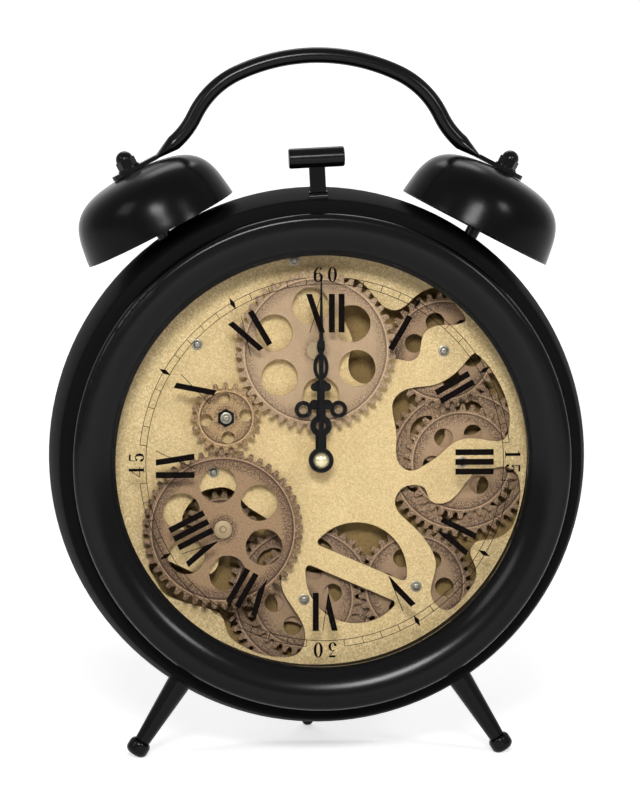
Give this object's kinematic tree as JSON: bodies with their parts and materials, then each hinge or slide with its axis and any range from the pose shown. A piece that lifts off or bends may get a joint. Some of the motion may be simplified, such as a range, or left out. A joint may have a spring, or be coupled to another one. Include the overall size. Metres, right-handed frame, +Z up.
{
  "type": "table clock",
  "caption": "Free-standing round table clock in a twin-bell alarm clock shape, with a pierced gold dial, turning gear wheels under glass and hands.",
  "frame": {"origin": "on the table, under the middle of the overall width and depth", "axes": "+X to the right as one looks at the dial, +Y to the rear, +Z up"},
  "size_m": [0.3072, 0.1324, 0.403],
  "materials": {
    "black_paint": "satin black paint",
    "gold_leaf": "worn gold leaf",
    "antique_bronze": "speckled antique bronze paint",
    "clear_glass": "clear, printed on its rear",
    "black_rubber": "matt",
    "black_steel": "satin black",
    "zinc_steel": "zinc plated",
    "plain_brass": "polished",
    "dark_board": "painted fibreboard",
    "black_plastic": "moulded",
    "cell_jacket": "plain printed jacket",
    "green_laminate": "laminate",
    "copper_wire": "varnished wire"
  },
  "bodies": {
    "case": {"case_drum": "black_paint", "front_bezel": "black_paint", "case_screws": "zinc_steel", "front_glass": "clear_glass", "glass_gasket": "black_rubber", "glass_backing_ring": "black_rubber", "dial_surround": "black_paint", "dial_plate": "gold_leaf", "dial_screws": "zinc_steel", "dial_axles": "zinc_steel", "axle_collars": "black_plastic", "gear_board": "dark_board", "board_posts": "zinc_steel", "upper_gear_stud": "zinc_steel", "idler_gear_screw": "zinc_steel", "movement_case": "black_plastic", "movement_cover": "black_plastic", "train_bridge": "black_plastic", "bush_nut": "plain_brass", "circuit_board": "green_laminate", "stepper_coil": "copper_wire", "drive_case": "black_plastic", "drive_cover": "black_plastic", "drive_motor": "zinc_steel", "cell_holder": "black_plastic", "dry_cells": "cell_jacket", "cell_contacts": "zinc_steel", "back_cover": "black_paint", "left_leg": "black_paint", "right_leg": "black_paint", "rear_leg": "black_paint", "leg_nuts": "zinc_steel", "left_bell": "black_paint", "right_bell": "black_paint", "bell_posts": "black_paint", "acorn_nuts": "black_paint", "bell_washers": "black_paint", "bell_nuts": "zinc_steel", "handle": "black_paint", "hammer_stem": "black_paint", "hammer_bar": "black_paint"},
    "lower_gear": {"lower_gear": "antique_bronze", "lower_gear_shaft": "zinc_steel", "lower_pinion": "antique_bronze"},
    "idler_gear": {"idler_gear": "antique_bronze"},
    "upper_gear": {"upper_gear": "antique_bronze"},
    "bottom_wheels": {"bottom_great_wheel": "antique_bronze", "bottom_small_wheel": "antique_bronze"},
    "lower_right_wheel": {"lower_right_wheel": "antique_bronze"},
    "right_wheels": {"right_great_wheel": "antique_bronze", "right_small_wheel": "antique_bronze"},
    "upper_right_wheel": {"upper_right_wheel": "antique_bronze"},
    "minute": {"minute_arbor": "plain_brass", "minute_hand": "black_steel", "hand_nut": "plain_brass"},
    "hour": {"hour_wheel": "plain_brass", "hour_hand": "black_steel"},
    "setting": {"minute_wheel": "plain_brass", "setting_knob": "black_plastic"}
  },
  "joints": [
    {"name": "lower_gear_spin", "type": "hinge", "parent": "case", "child": "lower_gear", "pos_m": [-0.05549, -0.03725, 0.13037], "axis": [0, 1, 0], "continuous": true},
    {"name": "idler_gear_spin", "type": "hinge", "parent": "case", "child": "idler_gear", "pos_m": [-0.0536, -0.03725, 0.19392], "axis": [0, 1, 0], "continuous": true},
    {"name": "upper_gear_spin", "type": "hinge", "parent": "case", "child": "upper_gear", "pos_m": [-0.00256, -0.03725, 0.23183], "axis": [0, 1, 0], "continuous": true},
    {"name": "bottom_wheels_spin", "type": "hinge", "parent": "case", "child": "bottom_wheels", "pos_m": [-0.00867, -0.02225, 0.08866], "axis": [0, 1, 0], "continuous": true},
    {"name": "lower_right_wheel_spin", "type": "hinge", "parent": "case", "child": "lower_right_wheel", "pos_m": [0.05555, -0.0235, 0.09564], "axis": [0, 1, 0], "continuous": true},
    {"name": "right_wheels_spin", "type": "hinge", "parent": "case", "child": "right_wheels", "pos_m": [0.08179, -0.02525, 0.16696], "axis": [0, 1, 0], "continuous": true},
    {"name": "upper_right_wheel_spin", "type": "hinge", "parent": "case", "child": "upper_right_wheel", "pos_m": [0.07113, -0.0265, 0.23068], "axis": [0, 1, 0], "continuous": true},
    {"name": "minute_spin", "type": "hinge", "parent": "case", "child": "minute", "pos_m": [0, -0.04525, 0.17002], "axis": [0, 1, 0], "continuous": true},
    {"name": "hour_spin", "type": "hinge", "parent": "case", "child": "hour", "pos_m": [0, -0.04225, 0.17002], "axis": [0, 1, 0], "continuous": true},
    {"name": "setting_spin", "type": "hinge", "parent": "case", "child": "setting", "pos_m": [0, -0.00225, 0.18202], "axis": [0, 1, 0], "continuous": true}
  ],
  "couplings": [
    {"joint": "idler_gear_spin", "follows": "lower_gear_spin", "ratio": -2.4},
    {"joint": "upper_gear_spin", "follows": "lower_gear_spin", "ratio": 1},
    {"joint": "bottom_wheels_spin", "follows": "lower_gear_spin", "ratio": -0.43478},
    {"joint": "lower_right_wheel_spin", "follows": "lower_gear_spin", "ratio": 0.43478},
    {"joint": "right_wheels_spin", "follows": "lower_gear_spin", "ratio": -0.32136},
    {"joint": "upper_right_wheel_spin", "follows": "lower_gear_spin", "ratio": 0.32136},
    {"joint": "hour_spin", "follows": "minute_spin", "ratio": 0.083333},
    {"joint": "setting_spin", "follows": "minute_spin", "ratio": -0.33333}
  ]
}
